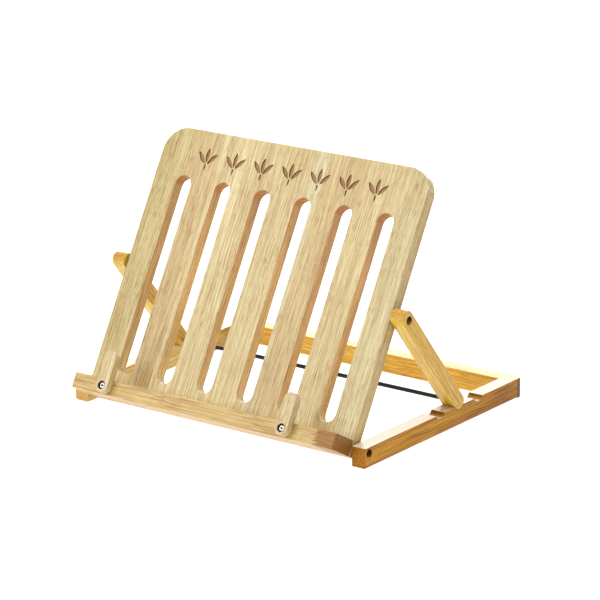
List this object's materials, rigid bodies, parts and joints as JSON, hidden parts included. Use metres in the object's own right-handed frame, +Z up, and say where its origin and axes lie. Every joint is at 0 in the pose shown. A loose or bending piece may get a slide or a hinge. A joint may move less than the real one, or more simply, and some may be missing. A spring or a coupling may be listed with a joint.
{
  "type": "book stand",
  "caption": "Adjustable wooden book stand: slatted back panel with a ledge and page holders, hinged in a flat frame and held by a prop in notches.",
  "frame": {"origin": "on the surface it stands on, under the middle of the whole stand's box", "axes": "+X to the right seen from the front, +Y from the front ledge to the rear rail, +Z up"},
  "size_m": [0.34, 0.2826, 0.2434],
  "materials": {
    "panel_wood": "satin lacquer",
    "ledge_wood": "satin lacquer",
    "holder_wood": "satin lacquer",
    "rail_wood": "satin lacquer",
    "leg_wood": "satin lacquer",
    "dowel_wood": "raw",
    "black_bar": "satin black",
    "bright_screw": "bright nickel",
    "zinc_screw": "zinc",
    "washer_steel": "zinc"
  },
  "bodies": {
    "base": {"left_rail": "rail_wood", "right_rail": "rail_wood", "rear_rail": "rail_wood", "corner_dowels": "dowel_wood"},
    "panel": {"back_panel": "panel_wood", "ledge": "ledge_wood", "ledge_screws": "zinc_screw", "hinge_screws": "zinc_screw", "hinge_washers": "washer_steel", "holder_screws": "bright_screw", "prop_screws": "zinc_screw", "prop_washers": "washer_steel"},
    "prop": {"left_leg": "leg_wood", "right_leg": "leg_wood", "crossbar": "black_bar"},
    "holder_l": {"left_holder": "holder_wood"},
    "holder_r": {"right_holder": "holder_wood"}
  },
  "joints": [
    {"name": "panel_tilt", "type": "hinge", "parent": "base", "child": "panel", "pos_m": [0, -0.10297, 0.0131], "axis": [1, 0, 0], "range_deg": [0, 37]},
    {"name": "prop_swing", "type": "hinge", "parent": "panel", "child": "prop", "pos_m": [0, -0.04107, 0.12112], "axis": [1, 0, 0], "range_deg": [0, 107]},
    {"name": "left_holder_turn", "type": "hinge", "parent": "panel", "child": "holder_l", "pos_m": [-0.112, -0.1342, 0.031], "axis": [0, -0.8676, 0.4972], "range_deg": [-90, 90]},
    {"name": "right_holder_turn", "type": "hinge", "parent": "panel", "child": "holder_r", "pos_m": [0.098, -0.1342, 0.031], "axis": [0, -0.8676, 0.4972], "range_deg": [-90, 90]}
  ]
}
